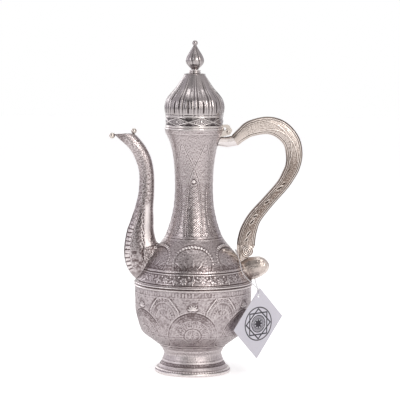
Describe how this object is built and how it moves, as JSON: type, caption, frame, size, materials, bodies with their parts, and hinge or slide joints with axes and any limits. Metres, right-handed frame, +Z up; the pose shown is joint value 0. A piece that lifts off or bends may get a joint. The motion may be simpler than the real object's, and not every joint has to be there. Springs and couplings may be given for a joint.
{
  "type": "ewer",
  "caption": "Silver-plated engraved ewer for coffee or rosewater, with a hinged onion-dome lid, an S-shaped spout, a hollow strap handle and a plain hang tag.",
  "frame": {"origin": "centre of the foot's underside", "axes": "+Z up the ewer's axis to the finial; the spout points along -X and the handle along +X; +Y is the far side when the spout is on the left"},
  "size_m": [0.1923, 0.118, 0.3315],
  "materials": {
    "silver_plate": "satin",
    "polished_silver": "polished",
    "handle_silver": "satin",
    "card": "satin",
    "thread": "matte"
  },
  "bodies": {
    "pot": {"foot": "silver_plate", "foot_rim": "polished_silver", "bowl": "silver_plate", "waist_ring": "polished_silver", "upper_body": "silver_plate", "neck_rim": "polished_silver", "spout_saddle": "polished_silver", "spout": "silver_plate", "spout_lip": "polished_silver", "spout_knob": "polished_silver", "handle_front_half": "handle_silver", "handle_back_half": "handle_silver", "handle_socket": "polished_silver", "handle_scroll": "handle_silver", "handle_leaf": "handle_silver", "handle_bracket": "handle_silver", "hinge_base": "polished_silver", "hinge_pin": "polished_silver", "tag_thread": "thread"},
    "lid": {"lid_hinge_leaf": "polished_silver", "lid_band": "silver_plate", "lid_skirt": "silver_plate", "lid_dome": "silver_plate", "lid_cap": "polished_silver", "finial_collar": "polished_silver", "finial": "polished_silver", "finial_nut": "polished_silver"},
    "tag": {"hang_tag": "card"}
  },
  "joints": [
    {"name": "lid_hinge", "type": "hinge", "parent": "pot", "child": "lid", "pos_m": [0.0336, 0, 0.241], "axis": [0, 1, 0], "range_deg": [0, 62]},
    {"name": "tag_swing", "type": "hinge", "parent": "pot", "child": "tag", "pos_m": [0.06484, -0.02072, 0.0796], "axis": [0.7071, -0.7071, 0], "range_deg": [-15, 15]}
  ]
}
